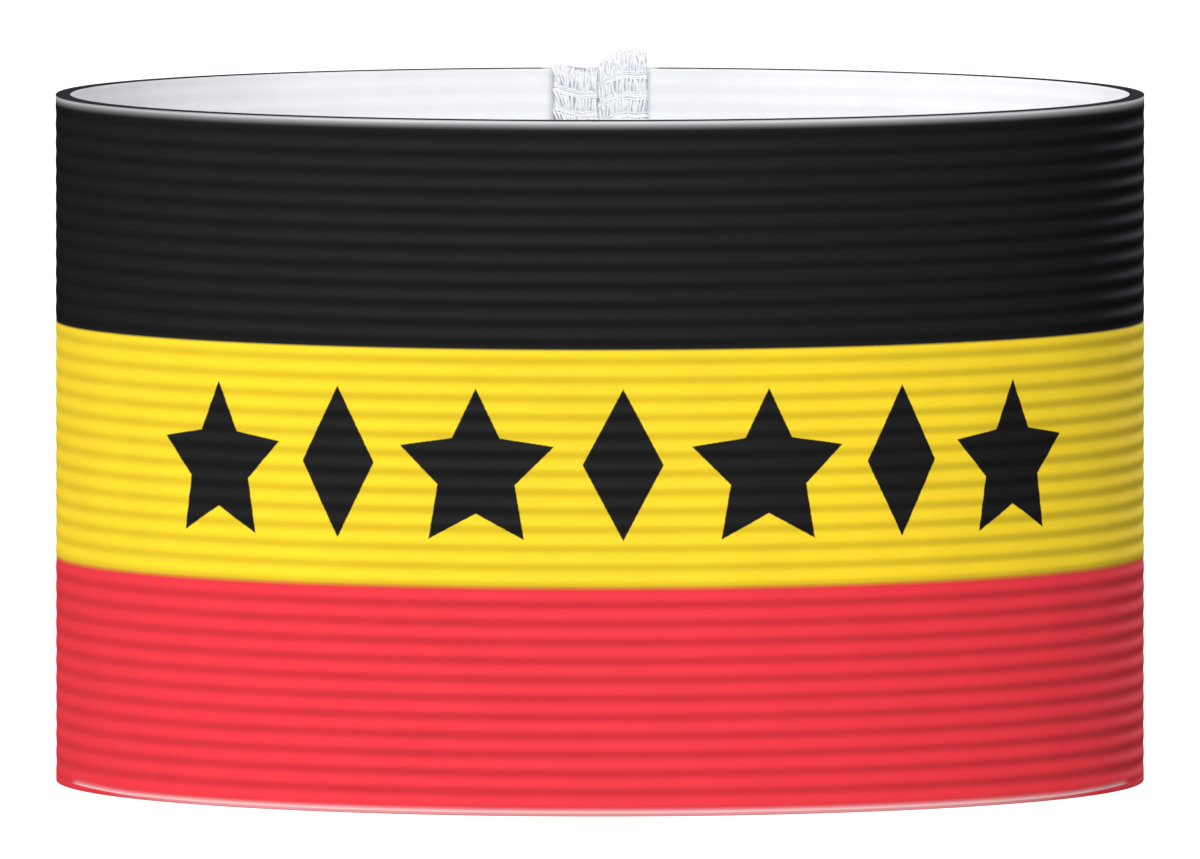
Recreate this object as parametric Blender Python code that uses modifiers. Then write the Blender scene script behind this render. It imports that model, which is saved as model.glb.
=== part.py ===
"""A captain's armband: ribbed elastic tape closed to a loop, standing on its lower edge.

Metres, +Z up along the loop's axis, origin on the floor at the loop's centre, the front towards -Y.
The seam is at the back, at +Y, where both ends of the tape are turned in, laid open against the inner
face and overlocked.
"""

import math
from collections import namedtuple

import bmesh
import bpy
from mathutils import Vector

# The tape and the loop it is sewn to
TAPE_WIDTH = 0.0600
LOOP_DIAMETER = 0.0950
TAPE_THICKNESS = 0.0013
SELVEDGE_ROUNDING = 0.00025
ROUNDING_STEPS = 2
ROUND_STEPS = 56

# The ribs woven along the tape; the share is of a pitch, from the top edge down to the first groove
RIB_PITCH = 0.00162
RIB_DEPTH = 0.00022
FIRST_GROOVE_SHARE = 0.72

# The crease that the seam leaves in the outer face, a V of 60 degrees
CREASE_DEPTH = 0.0006
CUTTER_OVERSHOOT = 0.002

# The turned-in ends
END_THICKNESS = 0.0011
END_ROUNDING = 0.0003
END_CLEARANCE = 0.0003
SEAM_GAP = 0.0003
END_SHORTFALL = 0.0004
FREE_EDGE_CURL = 0.0003
LEFT_END_WIDTH = 0.0039
LEFT_END_RISE = 0.00035
RIGHT_END_WIDTH = 0.0044
RIGHT_END_RISE = 0.0014

# Stations from the seam to an end's free edge: shares of its width, of its rise above the rim and of its curl
Station = namedtuple("Station", "across left_rise right_rise curl")
STATIONS = (
    Station(across=0.0, left_rise=0.0, right_rise=0.25, curl=0.0),
    Station(across=0.3, left_rise=0.0, right_rise=0.75, curl=0.1),
    Station(across=0.6, left_rise=0.3, right_rise=0.95, curl=0.4),
    Station(across=1.0, left_rise=1.0, right_rise=1.0, curl=1.0),
)

# Stripes from the top down: the share of the tape's width at which each one starts, and its colour
Stripe = namedtuple("Stripe", "start colour")
STRIPES = (
    Stripe(start=0.0, colour=(0.012, 0.012, 0.013)),
    Stripe(start=0.3305, colour=(0.80, 0.60, 0.03)),
    Stripe(start=0.6714, colour=(0.74, 0.035, 0.055)),
)
WHITE = (0.82, 0.83, 0.85)
CLOTH_ROUGHNESS = 0.8

SHARP_ANGLE = math.radians(50)
OUTER_RADIUS = LOOP_DIAMETER / 2
INNER_RADIUS = OUTER_RADIUS - TAPE_THICKNESS


def clear_scene():
    for leftover in list(bpy.data.objects):
        bpy.data.objects.remove(leftover)


def new_collection(name):
    collection = bpy.data.collections.new(name)
    bpy.context.scene.collection.children.link(collection)
    return collection


def object_from(bm, name, collection):
    mesh = bpy.data.meshes.new(name)
    bm.to_mesh(mesh)
    bm.free()
    made = bpy.data.objects.new(name, mesh)
    collection.objects.link(made)
    return made


def freeze_and_smooth(made):
    """Puts the modifiers' result in the mesh and shades it smooth between its real edges."""
    graph = bpy.context.evaluated_depsgraph_get()
    mesh = bpy.data.meshes.new_from_object(made.evaluated_get(graph))
    made.modifiers.clear()
    made.data = mesh
    mesh.shade_smooth()
    mesh.set_sharp_from_angle(angle=SHARP_ANGLE)


def plain_cloth(name, colour):
    material = bpy.data.materials.new(name)
    material.use_nodes = True
    shader = material.node_tree.nodes["Principled BSDF"]
    shader.inputs["Base Color"].default_value = (*colour, 1)
    shader.inputs["Roughness"].default_value = CLOTH_ROUGHNESS
    shader.inputs["Metallic"].default_value = 0
    return material


def striped_elastic():
    """The tape's cloth: the stripes by height on its outer face, white on its inner face."""
    material = plain_cloth("striped_elastic", WHITE)
    nodes, links = material.node_tree.nodes, material.node_tree.links

    place = nodes.new("ShaderNodeTexCoord")
    axes = nodes.new("ShaderNodeSeparateXYZ")
    links.new(place.outputs["Object"], axes.inputs["Vector"])

    depth = nodes.new("ShaderNodeMapRange")
    depth.inputs["From Min"].default_value = TAPE_WIDTH
    depth.inputs["From Max"].default_value = 0
    links.new(axes.outputs["Z"], depth.inputs["Value"])

    stripes = nodes.new("ShaderNodeValToRGB")
    stripes.color_ramp.interpolation = "CONSTANT"
    stripes.color_ramp.elements.remove(stripes.color_ramp.elements[-1])
    stripes.color_ramp.elements[0].color = (*STRIPES[0].colour, 1)
    for stripe in STRIPES[1:]:
        stripes.color_ramp.elements.new(stripe.start).color = (*stripe.colour, 1)
    links.new(depth.outputs["Result"], stripes.inputs["Fac"])

    flat = nodes.new("ShaderNodeCombineXYZ")
    links.new(axes.outputs["X"], flat.inputs["X"])
    links.new(axes.outputs["Y"], flat.inputs["Y"])
    radius = nodes.new("ShaderNodeVectorMath")
    radius.operation = "LENGTH"
    links.new(flat.outputs["Vector"], radius.inputs[0])

    outside = nodes.new("ShaderNodeMath")
    outside.operation = "GREATER_THAN"
    outside.inputs[1].default_value = INNER_RADIUS + SELVEDGE_ROUNDING
    links.new(radius.outputs["Value"], outside.inputs[0])

    faces = nodes.new("ShaderNodeMix")
    faces.data_type = "RGBA"
    faces.inputs["A"].default_value = (*WHITE, 1)
    links.new(outside.outputs["Value"], faces.inputs["Factor"])
    links.new(stripes.outputs["Color"], faces.inputs["B"])
    links.new(faces.outputs["Result"], nodes["Principled BSDF"].inputs["Base Color"])
    return material


def quarter_turn(centre_radius, centre_z, start):
    """Points of a rounded edge, clockwise from the angle start, seen with +X to the right and +Z up."""
    points = []
    for step in range(ROUNDING_STEPS + 1):
        angle = start - math.pi / 2 * step / ROUNDING_STEPS
        points.append(
            (
                centre_radius + SELVEDGE_ROUNDING * math.cos(angle),
                centre_z + SELVEDGE_ROUNDING * math.sin(angle),
            )
        )
    return points


def rib_points():
    """The outer face from top to bottom: a groove, the rib below it, and so on."""
    count = round(TAPE_WIDTH / RIB_PITCH)
    pitch = TAPE_WIDTH / count
    points = []
    for rib in range(count):
        groove = TAPE_WIDTH - (rib + FIRST_GROOVE_SHARE) * pitch
        points.append((OUTER_RADIUS - RIB_DEPTH, groove))
        points.append((OUTER_RADIUS, groove - pitch / 2))
    inside_edges = (SELVEDGE_ROUNDING, TAPE_WIDTH - SELVEDGE_ROUNDING)
    return [point for point in points if inside_edges[0] < point[1] < inside_edges[1]]


def tape_section():
    """The tape's cross-section, down its outer face, across its lower edge and up its inner face."""
    edge_radius = OUTER_RADIUS - SELVEDGE_ROUNDING
    top = quarter_turn(edge_radius, TAPE_WIDTH - SELVEDGE_ROUNDING, math.pi / 2)
    bottom = quarter_turn(edge_radius, SELVEDGE_ROUNDING, 0)
    return top + rib_points() + bottom + [(INNER_RADIUS, 0), (INNER_RADIUS, TAPE_WIDTH)]


def seam_crease(collection):
    """The cutter of the seam's crease: a triangular bar with one corner turned to the loop's axis."""
    corner_reach = 2 * CREASE_DEPTH
    bm = bmesh.new()
    bmesh.ops.create_cone(
        bm,
        cap_ends=True,
        segments=3,
        radius1=corner_reach,
        radius2=corner_reach,
        depth=TAPE_WIDTH + 2 * CUTTER_OVERSHOOT,
    )
    cutter = object_from(bm, "seam_crease_cutter", collection)
    cutter.rotation_euler.z = math.pi
    cutter.location = (0, OUTER_RADIUS - CREASE_DEPTH + corner_reach, TAPE_WIDTH / 2)
    cutter.hide_render = True
    cutter.display_type = "WIRE"
    return cutter


def make_band(collection, cutters):
    bm = bmesh.new()
    corners = [bm.verts.new((radius, 0, z)) for radius, z in tape_section()]
    for corner, following in zip(corners, corners[1:] + corners[:1]):
        bm.edges.new((corner, following))
    band = object_from(bm, "elastic_band", collection)

    turn = band.modifiers.new("turn", "SCREW")
    turn.axis = "Z"
    turn.angle = 2 * math.pi
    turn.steps = turn.render_steps = ROUND_STEPS
    turn.use_merge_vertices = True
    turn.merge_threshold = 0.00001

    crease = band.modifiers.new("crease", "BOOLEAN")
    crease.operation = "DIFFERENCE"
    crease.object = seam_crease(cutters)

    freeze_and_smooth(band)
    band.data.materials.clear()
    band.data.materials.append(striped_elastic())


def make_turned_in_end(name, side, width, rises, material, collection):
    """One end of the tape beside the seam: side is -1 to the left of it and 1 to the right."""
    wall_radius = INNER_RADIUS - END_CLEARANCE
    bm = bmesh.new()
    columns = []
    for station, rise in zip(STATIONS, rises):
        angle = (SEAM_GAP / 2 + station.across * width) / wall_radius
        radius = wall_radius - station.curl * FREE_EDGE_CURL
        outward = Vector((side * math.sin(angle), math.cos(angle), 0))
        low = outward * radius + Vector((0, 0, END_SHORTFALL + rise))
        high = outward * radius + Vector((0, 0, TAPE_WIDTH + rise))
        columns.append((bm.verts.new(low), bm.verts.new(high)))
    for (low, high), (next_low, next_high) in zip(columns, columns[1:]):
        face = bm.faces.new((low, next_low, next_high, high))
        face.normal_update()
        if face.normal.y < 0:
            face.normal_flip()
    end = object_from(bm, name, collection)

    wall = end.modifiers.new("wall", "SOLIDIFY")
    wall.thickness = END_THICKNESS
    wall.offset = -1
    wall.use_even_offset = True

    rounding = end.modifiers.new("rounding", "BEVEL")
    rounding.width = END_ROUNDING
    rounding.segments = 2
    rounding.limit_method = "ANGLE"
    rounding.angle_limit = SHARP_ANGLE

    freeze_and_smooth(end)
    end.data.materials.clear()
    end.data.materials.append(material)


def main():
    clear_scene()
    parts = new_collection("captain_armband")
    cutters = new_collection("cutters")
    make_band(parts, cutters)

    left_rises = [station.left_rise * LEFT_END_RISE for station in STATIONS]
    right_rises = [station.right_rise * RIGHT_END_RISE for station in STATIONS]
    left_cloth = plain_cloth("overlocked_end_left", WHITE)
    right_cloth = plain_cloth("overlocked_end_right", WHITE)
    make_turned_in_end("seam_allowance_left", -1, LEFT_END_WIDTH, left_rises, left_cloth, parts)
    make_turned_in_end("seam_allowance_right", 1, RIGHT_END_WIDTH, right_rises, right_cloth, parts)


main()
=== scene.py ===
"""Looks of the captain's armband: ribbed elastic tape in three stripes, sewn to a loop at the back.

Metres, +Z up along the loop's axis, the printed front towards -Y, the seam at +Y.
"""

import math
from collections import namedtuple

import bmesh
import bpy
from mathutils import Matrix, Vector

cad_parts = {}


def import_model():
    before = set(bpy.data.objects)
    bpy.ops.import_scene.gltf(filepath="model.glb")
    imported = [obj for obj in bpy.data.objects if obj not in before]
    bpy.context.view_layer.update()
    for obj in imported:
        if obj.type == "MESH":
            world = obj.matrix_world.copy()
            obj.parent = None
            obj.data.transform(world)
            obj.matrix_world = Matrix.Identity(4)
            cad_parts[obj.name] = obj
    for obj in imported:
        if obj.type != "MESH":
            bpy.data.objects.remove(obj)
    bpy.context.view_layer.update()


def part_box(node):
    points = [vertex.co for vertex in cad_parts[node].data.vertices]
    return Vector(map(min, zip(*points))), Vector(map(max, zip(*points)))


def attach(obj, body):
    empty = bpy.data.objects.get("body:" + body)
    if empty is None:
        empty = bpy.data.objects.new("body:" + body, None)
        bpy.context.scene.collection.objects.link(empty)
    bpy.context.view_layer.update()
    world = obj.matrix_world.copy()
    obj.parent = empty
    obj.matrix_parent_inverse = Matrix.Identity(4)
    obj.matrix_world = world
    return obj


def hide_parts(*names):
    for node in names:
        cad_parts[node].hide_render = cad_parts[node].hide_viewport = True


MM = 0.001

# The tape, as the frame has it
TAPE_THICKNESS = 1.3 * MM
RIB_PITCH = 1.615 * MM
# The first groove of each face, from the top edge down, as a share of a pitch
OUTER_GROOVE_SHARE = 0.11
INNER_GROOVE_SHARE = 0.22

# What the frame leaves to this script on the tape
OUTER_RIB_DEPTH = 0.045 * MM
INNER_RIB_DEPTH = 0.03 * MM
EDGE_ROUNDING = 0.08 * MM
OUTER_STEPS_PER_RIB = 7
INNER_STEPS_PER_RIB = 4
CORNER_STEPS = 3
SHARP_ANGLE = math.radians(60)
MERGE_DISTANCE = 0.001 * MM
LOOP_COLUMNS = 216
SEAM_COLUMNS = 9
SEAM_ZONE = 1.3 * MM
LIP_DEPTH = 0.75 * MM
LIP_WIDTH = 0.7 * MM

# Colours are linear
BLACK = (0.0104, 0.0104, 0.0106)
YELLOW = (0.77, 0.55, 0.0165)
RED = (0.672, 0.029, 0.043)
WHITE = (0.70, 0.71, 0.73)
SELVEDGE_AND_HIGHLIGHT_WHITE = (0.595, 0.60, 0.61)
RIM_CHARCOAL = (0.008, 0.0085, 0.010)
RIM_AT_SEAM = (0.50, 0.505, 0.515)
# The ends' grey is painted shadow: it stands for the shade in the gaps between the overlock threads
END_SHADOW_GREY = (0.30, 0.32, 0.365)
END_WHITE = (0.74, 0.76, 0.80)
THREAD_WHITE = (0.765, 0.77, 0.785)
THREAD_SHADE = (0.655, 0.67, 0.705)
FLOOR_GREY = (0.2, 0.2, 0.2)
FLOOR_WHITE = (1.0, 1.0, 1.0)

# How the ends' cloth and their threads are shaded: the cloth's tint, from the grey of painted shadow to
# white, comes from its yarns by a share, and the rest of it from patches
END_YARN_SHARE = 0.25
END_YARN_PITCH = 0.35 * MM
END_PATCH_SCALE = 900.0
END_BUMP = 0.06 * MM
THREAD_FIBRE_SCALE = 9000.0
THREAD_BUMP = 0.03 * MM

# How the tape's cloth is shaded
# Painted shade in the grooves of the white inside: its colour is times this much at a groove's middle
INNER_GROOVE_PAINTED_SHADE = 0.94
RIB_BUMP = 0.137 * MM
# The ribs are deeper at the right than at the left, by this share of their depth either way
RIB_UNEVENNESS = 0.235
# The ribs flatten out towards both edges, over this distance
RIB_FADE_START = 0.2 * MM
RIB_FADE_END = 1.0 * MM
WEAVE_BUMP = 0.004 * MM
WEAVE_RELIEF_TOP = 1.5
YARN_SQUARENESS = 0.6
FUZZ_SCALE = 2600.0
CLOUD_SCALE = 160.0
CLOUD_DARKEST = 0.97
CLOUD_PALEST = 1.03
CREST_ROUGHNESS = 0.56
GROOVE_ROUGHNESS = 0.68

# White yarn along the top edge, with a painted highlight on it: where it is full, where it ends, and
# how much shows at the very edge
TOP_PALE_START = 0.2 * MM
TOP_PALE_WIDTH = 0.93 * MM
TOP_PALE_AT_RIM = 0.42
# This pale, partly a painted highlight, is weaker at the left, between these sines of the angle from
# the front
TOP_PALE_AT_LEFT = 0.68
LEFT_FULLY = -0.85
LEFT_START = -0.4

# White yarn along the lower edge, with a painted highlight that shows only towards the front: a line
# above which it fades over a width, how strong it is, and how strong below the line
LOW_PALE_WIDTH = 0.6 * MM
LOW_PALE_START = 0.3 * MM
LOW_PALE_END_START = 0.5 * MM
LOW_PALE_LINE_BLUR = 0.03 * MM
LOW_PALE_MIX = 0.72
LOW_PALE_BELOW = 0.42
# This pale, a painted highlight on white yarn, reaches this many degrees from the front; where it
# changes is given as shares of that
LOW_PALE_REACH = 76
LOW_PALE_LIFT_FROM = 0.75
LOW_PALE_BELOW_FROM = 0.6
LOW_PALE_BELOW_TO = 0.85
LOW_PALE_FULL_TO = 0.95

# The white inside reaches this far into the tape
INSIDE_DEPTH = 0.072 * MM
# How far the rim's charcoal reaches down each face
RIM_REACH_OUTSIDE = 0.06 * MM
RIM_REACH_INSIDE = 0.055 * MM
# The rim is paler near the seam, where the ends were sewn
RIM_SEWN_REACH = 5.4 * MM
RIM_SEWN_FULL_REACH = 4.86 * MM

# Stripes from the top down, with the share of the tape's width at which each one starts
Stripe = namedtuple("Stripe", "start colour")
STRIPES = (
    Stripe(start=0.0, colour=BLACK),
    Stripe(start=0.3305, colour=YELLOW),
    Stripe(start=0.6714, colour=RED),
)
STRIPE_BLUR = 0.003

# The row of plain motifs printed on the middle stripe: stars with a lozenge between each two
STAR_TIP = 7.2 * MM
STAR_NOTCH = 3.6 * MM
STAR_POINTS = 5
STAR_COUNT = 4
STAR_PITCH = 25.6 * MM
LOZENGE_HALF_WIDTH = 3.5 * MM
LOZENGE_SLANT = 0.9
PRINT_HALF_HEIGHT = 6.55 * MM
PRINT_MIDDLE_HEIGHT = 30.3 * MM
PRINT_MIDDLE_ALONG = 2.0 * MM
PRINT_BLUR = 0.12 * MM
PRINT_ROUGHENING = 0.02 * MM

# The turned-in ends. Both drops are below the tape's top edge. An end rises towards its free edge,
# between two shares of its width. Its edge threads lean by edge_lean, give or take lean_spread.
END_THICKNESS = 0.65 * MM
END_ROUNDING = 0.08 * MM
END_CLEARANCE = 0.25 * MM
END_SHORTFALL = 0.4 * MM
END_SEAM_GAP = 0.03 * MM
END_CURL = 0.12 * MM
# The line where the ends meet wanders a little to the left of the crease outside
SEAM_ASIDE = -0.2 * MM
END_SCALLOP = 0.07 * MM
END_CORNER_STEPS = 4
END_STEPS_PER_ROW = 6
TurnedEnd = namedtuple(
    "TurnedEnd",
    "node side width drop fringe_drop rise rise_from rise_to first_row row_pitch edge_lean lean_spread",
)
TURNED_ENDS = (
    TurnedEnd(
        node="seam_allowance_left",
        side=-1,
        width=3.9 * MM,
        drop=0.2 * MM,
        fringe_drop=0.74 * MM,
        rise=0.65 * MM,
        rise_from=0.35,
        rise_to=1.05,
        first_row=58.55 * MM,
        row_pitch=1.83 * MM,
        edge_lean=-0.38,
        lean_spread=0.08,
    ),
    TurnedEnd(
        node="seam_allowance_right",
        side=1,
        width=4.4 * MM,
        drop=0,
        fringe_drop=0.45 * MM,
        rise=1.4 * MM,
        rise_from=-0.25,
        rise_to=0.5,
        first_row=58.9 * MM,
        row_pitch=1.80 * MM,
        edge_lean=0.08,
        lean_spread=0.32,
    ),
)

# Overlock thread on the ends
STRAND_RADIUS = 0.105 * MM
STRAND_LENGTH = 1.45 * MM
STRAND_PITCH = 0.30 * MM
# The uprights leave this much of an end's width to the edge threads
UPRIGHTS_SHORTFALL = 1.07 * MM
FILL_RADIUS = 0.06 * MM
LOOPER_RADIUS = 0.085 * MM
LOOPERS = 5
LOOPER_SPREAD = 0.14 * MM
FRINGE_RADIUS = 0.06 * MM
FRINGE_LENGTH = 1.25 * MM
FRINGE_COUNT = 60
LOOSE_RADIUS = 0.03 * MM
LOOSE_LENGTH = 0.7 * MM
LOOSE_COUNT = 26

# The camera, from the photograph's ellipses
CAMERA_DISTANCE = 3.2943
CAMERA_HEIGHT = 0.22166
CAMERA_PITCH = math.radians(3.3187)
CAMERA_LENS_MM = 1134.07
FLOOR_SIZE = 16
FLOOR_GLOW = 1.05
AMBIENT = 0.34
# The colours of the suns behind
COOL = (0.93, 0.96, 1.0)
COOLER = (0.82, 0.90, 1.0)

FLOAT = "NodeSocketFloat"
WHOLE = "NodeSocketInt"
GEOMETRY = "NodeSocketGeometry"
MATERIAL = "NodeSocketMaterial"


class Wiring:
    """Adds nodes to a tree. An input's value is a number, a colour, a name or another node's socket."""

    def __init__(self, tree):
        self.tree = tree

    def link(self, source, target):
        self.tree.links.new(source, target)

    def node(self, kind, inputs=None, **settings):
        made = self.tree.nodes.new(kind)
        for name, value in settings.items():
            setattr(made, name, value)
        for key, value in (inputs or {}).items():
            if isinstance(value, bpy.types.NodeSocket):
                self.link(value, made.inputs[key])
            else:
                made.inputs[key].default_value = value
        return made

    def math(self, operation, *values):
        return self.node("ShaderNodeMath", dict(enumerate(values)), operation=operation).outputs[0]

    def whole_part(self, index, count):
        """How many whole counts an index holds; the quarter guards against rounding."""
        return self.math("FLOOR", self.math("DIVIDE", self.math("ADD", index, 0.25), count))

    def clamp(self, value, low, high):
        return self.math("MINIMUM", self.math("MAXIMUM", value, low), high)

    def length(self, across, up):
        squares = [self.math("MULTIPLY", side, side) for side in (across, up)]
        return self.math("SQRT", self.math("ADD", *squares))

    def vector(self, x, y, z=0.0):
        return self.node("ShaderNodeCombineXYZ", {"X": x, "Y": y, "Z": z}).outputs[0]

    def round_axis(self, radius, angle, height):
        """The point at a radius, an angle from +Y towards +X, and a height."""
        x = self.product(radius, self.math("SINE", angle))
        y = self.product(radius, self.math("COSINE", angle))
        return self.vector(x, y, height)

    def product(self, first, *others):
        for other in others:
            first = self.math("MULTIPLY", first, other)
        return first

    def remap(self, value, from_min, from_max, to_min=0.0, to_max=1.0, smooth=False):
        """The value, clamped, carried from one range to the other."""
        made = self.node(
            "ShaderNodeMapRange",
            {
                "Value": value,
                "From Min": from_min,
                "From Max": from_max,
                "To Min": to_min,
                "To Max": to_max,
            },
            interpolation_type="SMOOTHSTEP" if smooth else "LINEAR",
        )
        return made.outputs["Result"]

    def mix_colour(self, factor, first, second, blend="MIX"):
        inputs = {"Factor": factor, "A": first, "B": second}
        for key, value in inputs.items():
            if isinstance(value, tuple):
                inputs[key] = (*value, 1)
        made = self.node("ShaderNodeMix", inputs, data_type="RGBA", blend_type=blend)
        return made.outputs["Result"]

    def shade(self, colour, factor):
        """The colour, each channel times the factor."""
        grey = self.node("ShaderNodeCombineColor", {"Red": factor, "Green": factor, "Blue": factor})
        return self.mix_colour(1.0, colour, grey.outputs[0], blend="MULTIPLY")

    def bump(self, relief, strength, distance):
        inputs = {"Height": relief, "Strength": strength, "Distance": distance}
        return self.node("ShaderNodeBump", inputs).outputs["Normal"]

    def group(self, tree, inputs):
        kind = "GeometryNodeGroup" if tree.bl_idname == "GeometryNodeTree" else "ShaderNodeGroup"
        return self.node(kind, inputs, node_tree=tree)


def new_tree(name, kind, inputs, outputs):
    """A tree with named sockets, as its wiring, its given values and its results.

    Inputs are (name, kind, default) and outputs (name, kind).
    """
    tree = bpy.data.node_groups.new(name, kind)
    for socket_name, socket_kind, default in inputs:
        made = tree.interface.new_socket(socket_name, in_out="INPUT", socket_type=socket_kind)
        if default is not None:
            made.default_value = default
    for socket_name, socket_kind in outputs:
        tree.interface.new_socket(socket_name, in_out="OUTPUT", socket_type=socket_kind)
    wire = Wiring(tree)
    start = wire.node("NodeGroupInput")
    end = wire.node("NodeGroupOutput")
    return wire, start.outputs, end.inputs


def object_from_points(name, points, edges=(), faces=()):
    mesh = bpy.data.meshes.new(name)
    mesh.from_pydata(points, edges, faces)
    made = bpy.data.objects.new(name, mesh)
    bpy.context.scene.collection.objects.link(made)
    return made


def run_geometry_nodes(carrier, tree, values):
    """Sets the tree's named inputs on the carrier, and puts the mesh that it makes in its place."""
    modifier = carrier.modifiers.new(tree.name, "NODES")
    modifier.node_group = tree
    for item in tree.interface.items_tree:
        if item.in_out == "INPUT" and item.name in values:
            modifier[item.identifier] = values[item.name]
    graph = bpy.context.evaluated_depsgraph_get()
    mesh = bpy.data.meshes.new_from_object(carrier.evaluated_get(graph))
    name = carrier.name
    bpy.data.objects.remove(carrier)
    mesh.name = name
    face_outwards(mesh)
    made = bpy.data.objects.new(name, mesh)
    bpy.context.scene.collection.objects.link(made)
    return made


def face_outwards(mesh):
    bm = bmesh.new()
    bm.from_mesh(mesh)
    bmesh.ops.recalc_face_normals(bm, faces=bm.faces)
    bm.to_mesh(mesh)
    bm.free()


# Shader groups


def loop_place_group():
    """A point's place on the cloth: along the loop from the front's middle, height, and radius."""
    wire, start, out = new_tree(
        "loop_place",
        "ShaderNodeTree",
        [("Loop Radius", FLOAT, 0.0475)],
        [("Along", FLOAT), ("Height", FLOAT), ("Radius", FLOAT)],
    )
    place = wire.node("ShaderNodeTexCoord")
    axes = wire.node("ShaderNodeSeparateXYZ", {0: place.outputs["Object"]})
    x, y, z = axes.outputs
    angle = wire.math("ARCTAN2", x, wire.product(y, -1.0))
    wire.link(wire.product(angle, start["Loop Radius"]), out["Along"])
    wire.link(z, out["Height"])
    wire.link(wire.length(x, y), out["Radius"])
    return wire.tree


def ribs_group():
    """How deep in a groove between two ribs a point lies, 0 on a rib and 1 in the groove's middle."""
    wire, start, out = new_tree(
        "rib_grooves",
        "ShaderNodeTree",
        [
            ("Height", FLOAT, 0.0),
            ("Top", FLOAT, 0.06),
            ("Pitch", FLOAT, RIB_PITCH),
            ("First Groove", FLOAT, OUTER_GROOVE_SHARE),
        ],
        [("Groove", FLOAT)],
    )
    down = wire.math("DIVIDE", wire.math("SUBTRACT", start["Top"], start["Height"]), start["Pitch"])
    turns = wire.product(wire.math("SUBTRACT", down, start["First Groove"]), 2 * math.pi)
    wire.link(wire.math("MULTIPLY_ADD", wire.math("COSINE", turns), 0.5, 0.5), out["Groove"])
    return wire.tree


def weave_group():
    """Fine woven yarns: rows of small crossings along the ribs, with some unevenness."""
    wire, start, out = new_tree(
        "fine_weave",
        "ShaderNodeTree",
        [
            ("Along", FLOAT, 0.0),
            ("Height", FLOAT, 0.0),
            ("Yarn Pitch", FLOAT, 0.5 * MM),
            ("Row Pitch", FLOAT, 0.54 * MM),
            ("Unevenness", FLOAT, 0.5),
        ],
        [("Relief", FLOAT), ("Cloud", FLOAT)],
    )
    columns = wire.product(wire.math("DIVIDE", start["Along"], start["Yarn Pitch"]), math.pi)
    rows = wire.product(wire.math("DIVIDE", start["Height"], start["Row Pitch"]), math.pi)
    stagger = wire.product(wire.math("SIGN", wire.math("SINE", rows)), math.pi / 4)
    across = wire.math("ABSOLUTE", wire.math("SINE", wire.math("ADD", columns, stagger)))
    down = wire.math("ABSOLUTE", wire.math("SINE", rows))
    across, down = (wire.math("POWER", wave, YARN_SQUARENESS) for wave in (across, down))
    yarns = wire.product(across, down)
    where = wire.vector(start["Along"], start["Height"])
    fine = wire.node(
        "ShaderNodeTexNoise", {"Vector": where, "Scale": FUZZ_SCALE, "Detail": 2.0, "Roughness": 0.6}
    )
    broad = wire.node("ShaderNodeTexNoise", {"Vector": where, "Scale": CLOUD_SCALE, "Detail": 3.0})
    uneven = wire.product(fine.outputs["Fac"], start["Unevenness"])
    wire.link(wire.math("ADD", yarns, uneven), out["Relief"])
    wire.link(broad.outputs["Fac"], out["Cloud"])
    return wire.tree


def depth_in_star(wire, side, up):
    """How far inside a star's outline a point lies, from the star's middle."""
    # An edge runs from a tip to a notch; folding the angle leaves one half of one point
    half_point = math.pi / STAR_POINTS
    angle = wire.math("ADD", wire.math("ARCTAN2", side, up), half_point)
    folded = wire.math("FLOORED_MODULO", angle, 2 * half_point)
    folded = wire.math("ABSOLUTE", wire.math("SUBTRACT", folded, half_point))
    tip = Vector((STAR_TIP, 0))
    notch = Vector((STAR_NOTCH * math.cos(half_point), STAR_NOTCH * math.sin(half_point)))
    edge = (notch - tip).normalized()
    outward = Vector((edge.y, -edge.x))
    along_ray = wire.product(wire.math("COSINE", folded), outward.x)
    beside_ray = wire.product(wire.math("SINE", folded), outward.y)
    reach = wire.product(wire.length(side, up), wire.math("ADD", along_ray, beside_ray))
    return wire.math("SUBTRACT", outward.dot(tip), reach)


def depth_in_lozenge(wire, side, up):
    """About how far inside a lozenge's outline a point lies, from the lozenge's middle."""
    across_share = wire.math("DIVIDE", wire.math("ABSOLUTE", side), LOZENGE_HALF_WIDTH)
    up_share = wire.math("DIVIDE", wire.math("ABSOLUTE", up), PRINT_HALF_HEIGHT)
    depth = wire.math("SUBTRACT", 1.0, wire.math("ADD", across_share, up_share))
    return wire.product(depth, LOZENGE_HALF_WIDTH * LOZENGE_SLANT)


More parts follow.
